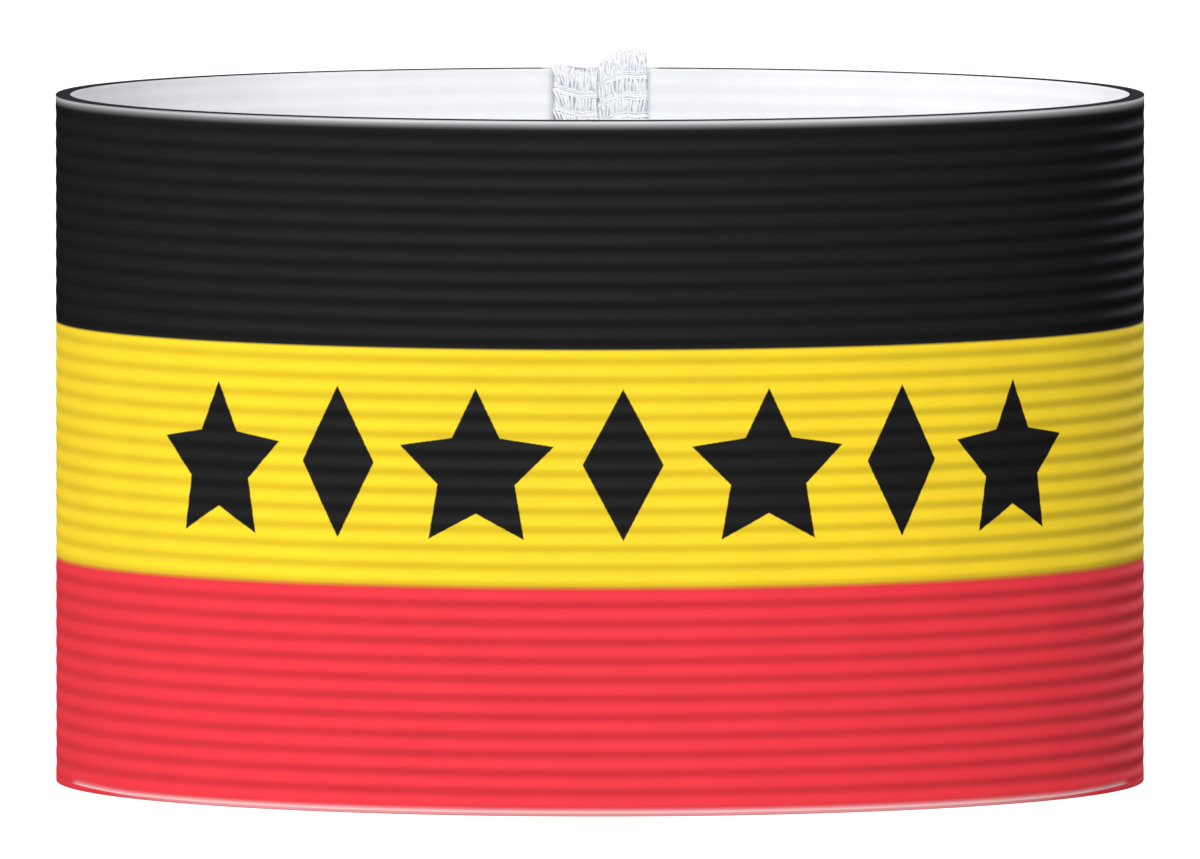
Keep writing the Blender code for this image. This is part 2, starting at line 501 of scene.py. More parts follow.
def motif_print_group():
    """The printed row of stars and lozenges, 1 where the ink is."""
    wire, start, out = new_tree(
        "motif_row",
        "ShaderNodeTree",
        [("Along", FLOAT, 0.0), ("Height", FLOAT, 0.0), ("Roughening", FLOAT, 0.0)],
        [("Ink", FLOAT)],
    )
    first_star = PRINT_MIDDLE_ALONG - STAR_PITCH * (STAR_COUNT - 1) / 2
    from_first = wire.math("SUBTRACT", start["Along"], first_star)
    up = wire.math("SUBTRACT", start["Height"], PRINT_MIDDLE_HEIGHT)
    pitches = wire.math("DIVIDE", from_first, STAR_PITCH)

    # Each motif's own sideways place, by the nearest star and the nearest gap between two
    star_index = wire.clamp(wire.math("ROUND", pitches), 0.0, STAR_COUNT - 1.0)
    star_side = wire.math("SUBTRACT", from_first, wire.product(star_index, STAR_PITCH))
    star = depth_in_star(wire, star_side, wire.math("ADD", up, STAR_TIP - PRINT_HALF_HEIGHT))
    gap_index = wire.clamp(wire.math("FLOOR", pitches), 0.0, STAR_COUNT - 2.0)
    gap_middle = wire.product(wire.math("ADD", gap_index, 0.5), STAR_PITCH)
    lozenge = depth_in_lozenge(wire, wire.math("SUBTRACT", from_first, gap_middle), up)

    inside = wire.math("ADD", wire.math("MAXIMUM", star, lozenge), start["Roughening"])
    wire.link(wire.remap(inside, -PRINT_BLUR / 2, PRINT_BLUR / 2, smooth=True), out["Ink"])
    return wire.tree


# Materials


def new_material(name):
    material = bpy.data.materials.new(name)
    material.use_nodes = True
    wire = Wiring(material.node_tree)
    return material, wire, material.node_tree.nodes["Principled BSDF"]


def stripes_colour(wire, height, top):
    """The stripes, from the top down."""
    ramp = wire.node("ShaderNodeValToRGB", {"Fac": wire.remap(height, top, 0.0)})
    elements = ramp.color_ramp.elements
    elements.remove(elements[-1])
    elements[0].color = (*STRIPES[0].colour, 1)
    for above, stripe in zip(STRIPES, STRIPES[1:]):
        elements.new(stripe.start - STRIPE_BLUR / 2).color = (*above.colour, 1)
        elements.new(stripe.start + STRIPE_BLUR / 2).color = (*stripe.colour, 1)
    return ramp.outputs["Color"]


def yarn_and_highlight_along_top(wire, height, sideways, top):
    """How much white yarn and painted highlight show along the top edge, less at the left."""
    pale = wire.remap(height, top - TOP_PALE_WIDTH, top - TOP_PALE_START)
    pale = wire.math("POWER", pale, 2.0)
    at_rim = wire.remap(height, top - TOP_PALE_START, top - RIM_REACH_OUTSIDE, 1.0, TOP_PALE_AT_RIM)
    at_side = wire.remap(sideways, LEFT_FULLY, LEFT_START, TOP_PALE_AT_LEFT, 1.0)
    return wire.product(pale, at_rim, at_side)


def yarn_and_highlight_along_bottom(wire, height, from_front, outer_radius):
    """How much white yarn and painted highlight show along the lower edge, towards the front only."""
    reach = math.radians(LOW_PALE_REACH) * outer_radius
    line = wire.remap(
        from_front, LOW_PALE_LIFT_FROM * reach, reach, LOW_PALE_START, LOW_PALE_END_START, smooth=True
    )
    pale = wire.math("POWER", wire.remap(height, wire.math("ADD", line, LOW_PALE_WIDTH), line), 2.0)
    below = wire.remap(
        from_front, LOW_PALE_BELOW_FROM * reach, LOW_PALE_BELOW_TO * reach, LOW_PALE_BELOW, 0.0
    )
    over_line = wire.math("SUBTRACT", height, line)
    above_line = wire.remap(over_line, -LOW_PALE_LINE_BLUR, LOW_PALE_LINE_BLUR, below)
    in_reach = wire.remap(from_front, reach, LOW_PALE_FULL_TO * reach, smooth=True)
    return wire.product(pale, LOW_PALE_MIX, above_line, in_reach)


def striped_elastic_material(groups, top, outer_radius):
    """The tape's cloth: stripes, print and pale yarn with painted highlights outside, white inside with
    painted shade in its grooves, and a charcoal rim.
    """
    material, wire, shader = new_material("striped_elastic_cloth")
    inner_radius = outer_radius - TAPE_THICKNESS

    place = wire.group(groups["place"], {"Loop Radius": outer_radius}).outputs
    along, height, radius = place["Along"], place["Height"], place["Radius"]
    weave = wire.group(groups["weave"], {"Along": along, "Height": height}).outputs
    groove = wire.group(groups["ribs"], {"Height": height, "Top": top}).outputs["Groove"]
    sideways = wire.math("SINE", wire.math("DIVIDE", along, outer_radius))
    from_front = wire.math("ABSOLUTE", along)

    roughening = wire.remap(weave["Relief"], 0.0, WEAVE_RELIEF_TOP, -PRINT_ROUGHENING, PRINT_ROUGHENING)
    spot = {"Along": along, "Height": height, "Roughening": roughening}
    ink = wire.group(groups["print"], spot).outputs["Ink"]
    outside = wire.mix_colour(ink, stripes_colour(wire, height, top), BLACK)
    # Pale along the top edge: white yarn with a painted highlight on it
    pale_top = yarn_and_highlight_along_top(wire, height, sideways, top)
    # Pale along the lower edge: white yarn with a painted highlight, only towards the front
    pale_low = yarn_and_highlight_along_bottom(wire, height, from_front, outer_radius)
    outside = wire.mix_colour(pale_top, outside, SELVEDGE_AND_HIGHLIGHT_WHITE)
    outside = wire.mix_colour(pale_low, outside, WHITE)

    # The flat top of the rim is charcoal, and paler where it was sewn
    outwards = wire.math("GREATER_THAN", radius, outer_radius - TAPE_THICKNESS / 2)
    further = RIM_REACH_OUTSIDE - RIM_REACH_INSIDE
    rim_reach = wire.math("MULTIPLY_ADD", outwards, further, RIM_REACH_INSIDE)
    on_rim = wire.math("GREATER_THAN", height, wire.math("SUBTRACT", top, rim_reach))
    seam_along = math.pi * outer_radius
    sewn = wire.remap(from_front, seam_along - RIM_SEWN_REACH, seam_along - RIM_SEWN_FULL_REACH)
    edged = wire.mix_colour(on_rim, outside, wire.mix_colour(sewn, RIM_CHARCOAL, RIM_AT_SEAM))

    within = wire.math("LESS_THAN", radius, inner_radius + INSIDE_DEPTH)
    within = wire.product(within, wire.math("SUBTRACT", 1.0, on_rim))
    spot = {"Height": height, "Top": top, "First Groove": INNER_GROOVE_SHARE}
    inner_groove = wire.group(groups["ribs"], spot).outputs["Groove"]
    # The white inside, painted darker in its grooves as painted shade
    inside = wire.shade(WHITE, wire.remap(inner_groove, 0.0, 1.0, 1.0, INNER_GROOVE_PAINTED_SHADE))
    cloud = wire.remap(weave["Cloud"], 0.3, 0.7, CLOUD_DARKEST, CLOUD_PALEST)
    colour = wire.shade(wire.mix_colour(within, edged, inside), cloud)
    wire.link(colour, shader.inputs["Base Color"])

    from_edge = wire.math("MINIMUM", height, wire.math("SUBTRACT", top, height))
    depth = wire.remap(from_edge, RIB_FADE_START, RIB_FADE_END, 0.0, -RIB_BUMP, smooth=True)
    depth = wire.product(depth, wire.math("MULTIPLY_ADD", sideways, RIB_UNEVENNESS, 1.0))
    ribs = wire.product(groove, depth, wire.math("SUBTRACT", 1.0, within))
    relief = wire.math("MULTIPLY_ADD", weave["Relief"], WEAVE_BUMP, ribs)
    wire.link(wire.bump(relief, 1.0, 1.0), shader.inputs["Normal"])
    rough = wire.remap(groove, 0.0, 1.0, CREST_ROUGHNESS, GROOVE_ROUGHNESS)
    wire.link(wire.math("MAXIMUM", rough, on_rim), shader.inputs["Roughness"])
    shader.inputs["Specular IOR Level"].default_value = 0.3
    return material


def end_material(groups, outer_radius):
    """The turned-in cloth between the threads, in grey and white patches, whiter on the yarns; the grey
    is painted shadow in the gaps between the threads and between the yarns.
    """
    material, wire, shader = new_material("overlocked_cloth")
    place = wire.group(groups["place"], {"Loop Radius": outer_radius}).outputs
    spot = {"Along": place["Along"], "Height": place["Height"], "Yarn Pitch": END_YARN_PITCH}
    relief = wire.group(groups["weave"], spot).outputs["Relief"]
    where = wire.node("ShaderNodeTexCoord").outputs["Object"]
    inputs = {"Vector": where, "Scale": END_PATCH_SCALE, "Detail": 1.0}
    # Patches of painted shadow: where this noise is low the cloth is painted grey, as if in the
    # threads' shade
    shadow_patches = wire.node("ShaderNodeTexNoise", inputs).outputs["Fac"]
    tint = wire.remap(shadow_patches, 0.42, 0.64, smooth=True)
    # Painted shade between the yarns: the cloth is whiter on their crests and greyer in the hollows
    yarn = wire.remap(relief, 0.0, WEAVE_RELIEF_TOP, 0.0, END_YARN_SHARE)
    tint = wire.math("ADD", wire.product(tint, 1 - END_YARN_SHARE), yarn)
    wire.link(wire.mix_colour(tint, END_SHADOW_GREY, END_WHITE), shader.inputs["Base Color"])
    wire.link(wire.bump(relief, 0.6, END_BUMP), shader.inputs["Normal"])
    wire.link(wire.remap(tint, 0.0, 1.0, 0.9, 0.75), shader.inputs["Roughness"])
    shader.inputs["Specular IOR Level"].default_value = 0.2
    return material


def thread_material():
    """Soft white polyester thread."""
    material, wire, shader = new_material("white_thread")
    where = wire.node("ShaderNodeTexCoord").outputs["Object"]
    inputs = {"Vector": where, "Scale": THREAD_FIBRE_SCALE, "Detail": 2.0}
    fibres = wire.node("ShaderNodeTexNoise", inputs).outputs["Fac"]
    tint = wire.remap(fibres, 0.3, 0.7)
    wire.link(wire.mix_colour(tint, THREAD_SHADE, THREAD_WHITE), shader.inputs["Base Color"])
    wire.link(wire.bump(fibres, 0.5, THREAD_BUMP), shader.inputs["Normal"])
    wire.link(wire.remap(tint, 0.0, 1.0, 0.7, 0.55), shader.inputs["Roughness"])
    shader.inputs["Specular IOR Level"].default_value = 0.2
    return material


def floor_material():
    """A seamless white studio floor, bright enough to leave no shade of its own."""
    material, _, shader = new_material("white_floor")
    shader.inputs["Base Color"].default_value = (*FLOOR_GREY, 1)
    shader.inputs["Roughness"].default_value = 1.0
    shader.inputs["Specular IOR Level"].default_value = 0.0
    shader.inputs["Emission Color"].default_value = (*FLOOR_WHITE, 1)
    shader.inputs["Emission Strength"].default_value = FLOOR_GLOW
    return material


# The tape


def arc(centre_across, centre_up, rounding, start, steps):
    """Points of a quarter circle, clockwise from the angle start, as (across, up)."""
    turns = [start - math.pi / 2 * step / steps for step in range(steps + 1)]
    return [
        (centre_across + rounding * math.cos(turn), centre_up + rounding * math.sin(turn))
        for turn in turns
    ]


def rounded_oblong(left, right, low, high, rounding, steps):
    """An oblong with rounded corners, as four runs of points clockwise from the top right corner."""
    quarter = math.pi / 2
    return (
        arc(right - rounding, high - rounding, rounding, quarter, steps),
        arc(right - rounding, low + rounding, rounding, 0, steps),
        arc(left + rounding, low + rounding, rounding, -quarter, steps),
        arc(left + rounding, high - rounding, rounding, -2 * quarter, steps),
    )


def rib_wave(down, first_groove):
    """0 on a rib's crest and 1 in a groove, at that distance below the tape's top edge."""
    return 0.5 + 0.5 * math.cos((down / RIB_PITCH - first_groove) * 2 * math.pi)


def rib_fade(down, top):
    """0 close to either edge of the tape and 1 where the ribs have their full depth."""
    from_edge = min(down, top - down)
    share = (from_edge - RIB_FADE_START) / (RIB_FADE_END - RIB_FADE_START)
    share = min(max(share, 0), 1)
    return share * share * (3 - 2 * share)


def face_points(top, radius, depth, first_groove, steps_per_rib):
    """Points down one ribbed face of the tape, between its rounded edges."""
    length = top - 2 * EDGE_ROUNDING
    count = round(length / RIB_PITCH * steps_per_rib)
    points = []
    for step in range(1, count):
        down = EDGE_ROUNDING + length * step / count
        inset = depth * rib_wave(down, first_groove) * rib_fade(down, top)
        points.append((radius - inset, top - down))
    return points


def tape_section(top, outer_radius):
    """The tape's section: down the ribbed outer face, across the lower edge and up the inner face."""
    inner_radius = outer_radius - TAPE_THICKNESS
    top_out, low_out, low_in, top_in = rounded_oblong(
        inner_radius, outer_radius, 0, top, EDGE_ROUNDING, CORNER_STEPS
    )
    outer = face_points(top, outer_radius, OUTER_RIB_DEPTH, OUTER_GROOVE_SHARE, OUTER_STEPS_PER_RIB)
    inner = face_points(top, inner_radius, -INNER_RIB_DEPTH, INNER_GROOVE_SHARE, INNER_STEPS_PER_RIB)
    section = top_out + outer + low_out + low_in + inner[::-1] + top_in
    return [(across, 0, up) for across, up in section]


def finish_mesh(wire, start, out, geometry):
    """Smooths and realizes the geometry, gives it the Cloth and ends the tree with it."""
    smooth = wire.node("GeometryNodeSetShadeSmooth", {"Geometry": geometry})
    real = wire.node("GeometryNodeRealizeInstances", {"Geometry": smooth.outputs[0]})
    inputs = {"Geometry": real.outputs[0], "Material": start["Cloth"]}
    wire.link(wire.node("GeometryNodeSetMaterial", inputs).outputs[0], out["Mesh"])
    return wire.tree


def turn_from_seam(wire, start, column):
    """A column's angle from the seam, and the same with a sign for its side."""
    half = wire.math("DIVIDE", start["Columns"], 2.0)
    steps = wire.math("MINIMUM", column, wire.math("SUBTRACT", start["Columns"], column))
    zone = wire.math("DIVIDE", start["Seam Zone"], start["Outer Radius"])
    near = wire.remap(steps, 0.0, start["Seam Columns"], 0.0, zone)
    far = wire.remap(steps, start["Seam Columns"], half, 0.0, wire.math("SUBTRACT", math.pi, zone))
    angle = wire.math("ADD", near, far)
    side = wire.math("SIGN", wire.math("SUBTRACT", wire.math("SUBTRACT", half, column), 0.5))
    return angle, wire.product(angle, side)


def rolled_radius(wire, start, radius, angle):
    """The radius after the outer face has rolled in at the seam along a quarter circle."""
    from_seam = wire.product(angle, start["Outer Radius"])
    inward = wire.math("SUBTRACT", 1.0, wire.remap(from_seam, 0.0, start["Lip Width"]))
    level = wire.math("SQRT", wire.math("SUBTRACT", 1.0, wire.product(inward, inward)))
    drop = wire.product(wire.math("SUBTRACT", 1.0, level), start["Lip Depth"])
    inner_radius = wire.math("SUBTRACT", start["Outer Radius"], start["Thickness"])
    outerness = wire.math("DIVIDE", wire.math("SUBTRACT", radius, inner_radius), start["Thickness"])
    return wire.math("SUBTRACT", radius, wire.product(drop, outerness))


def tape_loop_tree():
    """Sweeps a section round the loop, with closer columns and two rounded lips at the seam."""
    wire, start, out = new_tree(
        "tape_loop",
        "GeometryNodeTree",
        [
            ("Section", GEOMETRY, None),
            ("Section Points", WHOLE, 8),
            ("Outer Radius", FLOAT, 0.0475),
            ("Thickness", FLOAT, TAPE_THICKNESS),
            ("Columns", WHOLE, 64),
            ("Seam Columns", WHOLE, 4),
            ("Seam Zone", FLOAT, SEAM_ZONE),
            ("Lip Depth", FLOAT, LIP_DEPTH),
            ("Lip Width", FLOAT, LIP_WIDTH),
            ("Cloth", MATERIAL, None),
        ],
        [("Mesh", GEOMETRY)],
    )
    per_column = wire.math("ADD", start["Section Points"], 1.0)
    columns = wire.math("ADD", start["Columns"], 1.0)
    grid = wire.node("GeometryNodeMeshGrid", {"Vertices X": columns, "Vertices Y": per_column})
    index = wire.node("GeometryNodeInputIndex").outputs[0]
    column = wire.whole_part(index, per_column)
    row = wire.math("SUBTRACT", index, wire.product(column, per_column))
    row = wire.math("FLOORED_MODULO", wire.math("ROUND", row), start["Section Points"])
    point = wire.node("GeometryNodeInputPosition").outputs[0]
    taken = wire.node(
        "GeometryNodeSampleIndex",
        {"Geometry": start["Section"], "Value": point, "Index": row},
        data_type="FLOAT_VECTOR",
    )
    across, _, up = wire.node("ShaderNodeSeparateXYZ", {0: taken.outputs[0]}).outputs
    angle, turned = turn_from_seam(wire, start, column)
    placed = wire.round_axis(rolled_radius(wire, start, across, angle), turned, up)
    moved = wire.node(
        "GeometryNodeSetPosition", {"Geometry": grid.outputs["Mesh"], "Position": placed}
    )
    closed = wire.node(
        "GeometryNodeMergeByDistance", {"Geometry": moved.outputs[0], "Distance": MERGE_DISTANCE}
    )
    return finish_mesh(wire, start, out, closed.outputs[0])


def make_tape(cloth, top, outer_radius):
    section = tape_section(top, outer_radius)
    carrier = object_from_points("ribbed_tape", section)
    tape = run_geometry_nodes(
        carrier,
        tape_loop_tree(),
        {
            "Section Points": len(section),
            "Outer Radius": outer_radius,
            "Columns": LOOP_COLUMNS,
            "Seam Columns": SEAM_COLUMNS,
            "Cloth": cloth,
        },
    )
    tape.data.set_sharp_from_angle(angle=SHARP_ANGLE)
    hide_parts("elastic_band")
    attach(tape, "root")
    return tape


# The turned-in ends, built flat and then wrapped. Flat, X is across from the seam, Y is up and Z is
# towards the loop's axis.

WRAP_SOCKETS = (
    ("Side", FLOAT, 1.0),
    ("Wall Radius", FLOAT, 0.046),
    ("Width", FLOAT, 0.004),
    ("Rise", FLOAT, 0.0),
    ("Rise From", FLOAT, 0.0),
    ("Rise To", FLOAT, 1.0),
)


def wrap_group():
    """Bends flat geometry round the inside of the loop, and lifts it towards an end's free edge."""
    wire, start, out = new_tree(
        "wrap_inside_loop",
        "GeometryNodeTree",
        [
            ("Geometry", GEOMETRY, None),
            *WRAP_SOCKETS,
            ("Curl", FLOAT, END_CURL),
            ("Aside", FLOAT, SEAM_ASIDE),
        ],
        [("Geometry", GEOMETRY)],
    )
    place = wire.node("GeometryNodeInputPosition").outputs[0]
    across, up, inward = wire.node("ShaderNodeSeparateXYZ", {0: place}).outputs
    share = wire.math("DIVIDE", across, start["Width"])
    lifting = wire.remap(share, start["Rise From"], start["Rise To"], smooth=True)
    lifted = wire.product(lifting, start["Rise"])
    curled = wire.product(wire.remap(share, 0.1, 1.0, smooth=True), start["Curl"])
    radius = wire.math("SUBTRACT", wire.math("SUBTRACT", start["Wall Radius"], curled), inward)
    sideways = wire.math("MULTIPLY_ADD", across, start["Side"], start["Aside"])
    angle = wire.math("DIVIDE", sideways, start["Wall Radius"])
    placed = wire.round_axis(radius, angle, wire.math("ADD", up, lifted))
    inputs = {"Geometry": start["Geometry"], "Position": placed}
    wire.link(wire.node("GeometryNodeSetPosition", inputs).outputs[0], out["Geometry"])
    return wire.tree


def finish_wrapped(wire, start, out, wrap, geometry):
    """Wraps the geometry and ends the tree with it."""
    wrapping = {name: start[name] for name, *_ in WRAP_SOCKETS}
    wrapped = wire.group(wrap, {"Geometry": geometry, **wrapping})
    return finish_mesh(wire, start, out, wrapped.outputs[0])


def turned_end_tree(wrap):
    wire, start, out = new_tree(
        "turned_in_end",
        "GeometryNodeTree",
        [("Flat End", GEOMETRY, None), ("Cloth", MATERIAL, None), *WRAP_SOCKETS],
        [("Mesh", GEOMETRY)],
    )
    return finish_wrapped(wire, start, out, wrap, start["Flat End"])


STRAND_SOCKETS = (
    ("Path", GEOMETRY, None),
    ("Thread Radius", FLOAT, STRAND_RADIUS),
    ("Thread Sides", WHOLE, 6),
    ("Rows", WHOLE, 1),
    ("Per Row", WHOLE, 1),
    ("First Across", FLOAT, 0.0),
    ("First Height", FLOAT, 0.0),
    ("First Depth", FLOAT, 0.0),
    ("Strand Pitch", FLOAT, STRAND_PITCH),
    ("Row Pitch", FLOAT, 0.0018),
    ("Shift Across", FLOAT, 0.0),
    ("Shift Up", FLOAT, 0.0),
    ("Shift Deep", FLOAT, 0.0),
    ("Lean", FLOAT, 0.0),
    ("Lean Spread", FLOAT, 0.0),
    ("Tip Spread", FLOAT, 0.0),
    ("Shortest", FLOAT, 1.0),
    ("Longest", FLOAT, 1.0),
    ("Seed", WHOLE, 0),
    ("Cloth", MATERIAL, None),
    *WRAP_SOCKETS,
)


def strands_tree(wrap):
    """Repeats a thread's path in rows over a turned-in end, each copy a little different."""
    wire, start, out = new_tree(
        "overlock_strands", "GeometryNodeTree", STRAND_SOCKETS, [("Mesh", GEOMETRY)]
    )

    def spread(amount, step):
        """A random number from minus the amount to the amount, different for each strand and step."""
        made = wire.node(
            "FunctionNodeRandomValue",
            {
                "Min": wire.product(amount, -1.0),
                "Max": amount,
                "Seed": wire.math("ADD", start["Seed"], float(step)),
            },
            data_type="FLOAT",
        )
        return made.outputs["Value"]

    profile = wire.node(
        "GeometryNodeCurvePrimitiveCircle",
        {"Resolution": start["Thread Sides"], "Radius": start["Thread Radius"]},
    )
    line = wire.node("GeometryNodeMeshToCurve", {"Mesh": start["Path"]})
    tube = wire.node(
        "GeometryNodeCurveToMesh",
        {"Curve": line.outputs[0], "Profile Curve": profile.outputs["Curve"], "Fill Caps": True},
    )

    count = wire.product(start["Rows"], start["Per Row"])
    points = wire.node("GeometryNodePoints", {"Count": count})
    index = wire.node("GeometryNodeInputIndex").outputs[0]
    row = wire.whole_part(index, start["Per Row"])
    column = wire.math("SUBTRACT", index, wire.product(row, start["Per Row"]))
    across = wire.math("MULTIPLY_ADD", column, start["Strand Pitch"], start["First Across"])
    down = wire.product(row, start["Row Pitch"])
    height = wire.math("SUBTRACT", start["First Height"], down)
    place = wire.vector(
        wire.math("ADD", across, spread(start["Shift Across"], 1)),
        wire.math("ADD", height, spread(start["Shift Up"], 2)),
        wire.math("ADD", start["First Depth"], spread(start["Shift Deep"], 3)),
    )
    spots = wire.node("GeometryNodeSetPosition", {"Geometry": points.outputs[0], "Position": place})
    tip = spread(start["Tip Spread"], 4)
    turn = wire.vector(tip, 0.0, wire.math("ADD", start["Lean"], spread(start["Lean Spread"], 5)))
    size = wire.node(
        "FunctionNodeRandomValue",
        {
            "Min": start["Shortest"],
            "Max": start["Longest"],
            "Seed": wire.math("ADD", start["Seed"], 6.0),
        },
        data_type="FLOAT",
    )
    stretch = wire.vector(1.0, size.outputs["Value"], 1.0)
    copies = wire.node(
        "GeometryNodeInstanceOnPoints",
        {
            "Points": spots.outputs[0],
            "Instance": tube.outputs[0],
            "Rotation": turn,
            "Scale": stretch,
        },
    )
    real = wire.node("GeometryNodeRealizeInstances", {"Geometry": copies.outputs[0]})
    return finish_wrapped(wire, start, out, wrap, real.outputs[0])


def flat_end(end, name, top):
    """A turned-in end, flat: a rounded plate whose free edge is pulled in at each row of thread."""
    low, high = END_SHORTFALL, top - end.drop
    rows = round((high - low) / end.row_pitch * END_STEPS_PER_ROW)
    turns = [math.pi / 2 * step / END_CORNER_STEPS for step in range(END_CORNER_STEPS + 1)]
    rounding = [END_ROUNDING * (1 - math.cos(turn)) for turn in turns]
    heights = [low + rise for rise in rounding]
    straight = high - low - 2 * END_ROUNDING
    heights += [low + END_ROUNDING + straight * row / rows for row in range(1, rows)]
    heights += [high - rise for rise in reversed(rounding)]

    points, faces = [], []
    for up in heights:
        from_edge = min(up - low, high - up)
        beyond = max(END_ROUNDING - from_edge, 0)
        inset = END_ROUNDING - math.sqrt(END_ROUNDING**2 - beyond**2)
        turn = (up - end.first_row) / end.row_pitch * 2 * math.pi
        scallop = END_SCALLOP * (0.5 - 0.5 * math.cos(turn))
        runs = rounded_oblong(
            END_SEAM_GAP / 2 + inset,
            END_SEAM_GAP / 2 + end.width - inset - scallop,
            inset,
            END_THICKNESS - inset,
            END_ROUNDING,
            END_CORNER_STEPS,
        )
        points += [(across, up, deep) for run in runs for across, deep in run]
    ring = 4 * (END_CORNER_STEPS + 1)
    for level in range(len(heights) - 1):
        for step in range(ring):
            following = (step + 1) % ring
            below, above = level * ring, (level + 1) * ring
            faces.append((below + step, below + following, above + following, above + step))
    faces.append(tuple(range(ring)))
    faces.append(tuple(range(len(points) - ring, len(points))))
    return object_from_points(name, points, faces=faces)


def line_of(points):
    """The points and the edges that join them in a row."""
    return points, [(step, step + 1) for step in range(len(points) - 1)]


def upright_strand(length):
    """A short strand that dives into the cloth at both ends."""
    face = END_THICKNESS
    shares = (-0.5, -0.38, -0.12, 0.12, 0.38, 0.5)
    depths = (-0.06 * MM, 0.08 * MM, 0.06 * MM, 0.06 * MM, 0.08 * MM, -0.06 * MM)
    return line_of([(0, length * share, face + depth) for share, depth in zip(shares, depths)])


def looper_thread(end):
    """A thread from near the seam across the end's face and round its free edge."""
    face = END_THICKNESS
    width = end.width
    return line_of(
        [
            (0.04 * MM, 0, face - 0.08 * MM),
            (0.14 * MM, 0.02 * MM, face + 0.03 * MM),
            (0.2 * width, 0.06 * MM, face + 0.06 * MM),
            (0.4 * width, -0.04 * MM, face + 0.04 * MM),
            (0.6 * width, 0.05 * MM, face + 0.06 * MM),
            (0.8 * width, -0.05 * MM, face + 0.04 * MM),
            (width - 0.35 * MM, 0.04 * MM, face + 0.05 * MM),
            (width - 0.08 * MM, 0.03 * MM, face - 0.08 * MM),
            (width + 0.05 * MM, 0, 0.55 * face),
            (width - 0.02 * MM, -0.03 * MM, 0.2 * face),
            (width - 0.3 * MM, -0.05 * MM, 0.02 * MM),
        ]
    )


def loose_end():
    """A fine end of thread that sticks up, from the middle of the cloth."""
    return line_of(
        [
            (0, -0.3 * LOOSE_LENGTH, 0.5 * END_THICKNESS),
            (0.02 * MM, 0.2 * LOOSE_LENGTH, 0.5 * END_THICKNESS),
            (0.06 * MM, 0.6 * LOOSE_LENGTH, 0.5 * END_THICKNESS + 0.02 * MM),
            (0.14 * MM, LOOSE_LENGTH, 0.5 * END_THICKNESS + 0.05 * MM),
        ]
    )


def strand_kinds(end, top):
    """The kinds of thread on one end: a name, the path and the tree's inputs."""
    rows = int((end.first_row - END_SHORTFALL) / end.row_pitch)
    across_count = int((end.width - UPRIGHTS_SHORTFALL) / STRAND_PITCH) + 1
    between_rows = 0.5 * end.row_pitch
    middle = (LOOPERS - 1) / 2
    common = {"Rows": rows, "Row Pitch": end.row_pitch, "First Height": end.first_row}
    return (
        (
            "upright",
            upright_strand(STRAND_LENGTH),
            {
                **common,
                "Per Row": across_count,
                "First Across": 0.22 * MM,
                "Shift Across": 0.09 * MM,
                "Shift Up": 0.16 * MM,
                "Shift Deep": 0.05 * MM,
                "Lean Spread": 0.16,
                "Shortest": 0.75,
                "Longest": 1.2,
                "Seed": 3,
            },
        ),
        (
            "fill",
            upright_strand(STRAND_LENGTH),
            {
                **common,
                "Thread Radius": FILL_RADIUS,
                "Thread Sides": 5,
                "Per Row": across_count,
                "First Across": 0.45 * MM,
                "Shift Across": 0.15 * MM,
                "Shift Up": 0.35 * MM,
                "Shift Deep": 0.04 * MM,
                "Lean Spread": 0.35,
                "Shortest": 0.4,
                "Longest": 0.9,
                "Seed": 41,
            },
        ),
        (
            "edge",
            upright_strand(1.15 * STRAND_LENGTH),
            {
                **common,
                "Per Row": 3,
                "First Across": end.width - 0.95 * MM,
                "Strand Pitch": 0.36 * MM,
                "Shift Across": 0.05 * MM,
                "Shift Up": 0.08 * MM,
                "Lean": end.edge_lean,
                "Lean Spread": end.lean_spread,
                "Seed": 8,
            },
        ),
        *(
            (
                f"looper_{number}",
                looper_thread(end),
                {
                    **common,
                    "Thread Radius": LOOPER_RADIUS,
                    "First Height": end.first_row - between_rows + LOOPER_SPREAD * (number - middle),
                    "Shift Up": 0.05 * MM,
                    "Lean Spread": 0.025,
                    "Seed": 11 + number,
                },
            )
            for number in range(LOOPERS)
        ),
        (
            "fringe",
            upright_strand(FRINGE_LENGTH),
            {
                "Thread Radius": FRINGE_RADIUS,
                "Thread Sides": 5,
                "Rows": 1,
                "Per Row": FRINGE_COUNT,
                "First Across": 0.12 * MM,
                "First Height": top - end.fringe_drop,
                "Strand Pitch": (end.width - 0.12 * MM) / FRINGE_COUNT,
                "Shift Across": 0.06 * MM,
                "Shift Up": 0.16 * MM,
                "Shift Deep": 0.03 * MM,
                "Lean Spread": 0.14,
                "Tip Spread": 0.05,
                "Shortest": 0.6,
                "Longest": 1.15,
                "Seed": 33,
            },
        ),
        (
            "loose",
            loose_end(),
            {
                "Thread Radius": LOOSE_RADIUS,
                "Thread Sides": 4,
                "Rows": 1,
                "Per Row": LOOSE_COUNT,
                "First Across": 0.25 * MM,
                "First Height": top - end.drop - 0.1 * MM,
                "Strand Pitch": (end.width - 0.4 * MM) / LOOSE_COUNT,
                "Shift Across": 0.1 * MM,
                "Shift Deep": 0.25 * MM,
                "Lean Spread": 0.5,
                "Tip Spread": 0.35,
                "Shortest": 0.3,
                "Longest": 1.15,
                "Seed": 27,
            },
        ),
    )


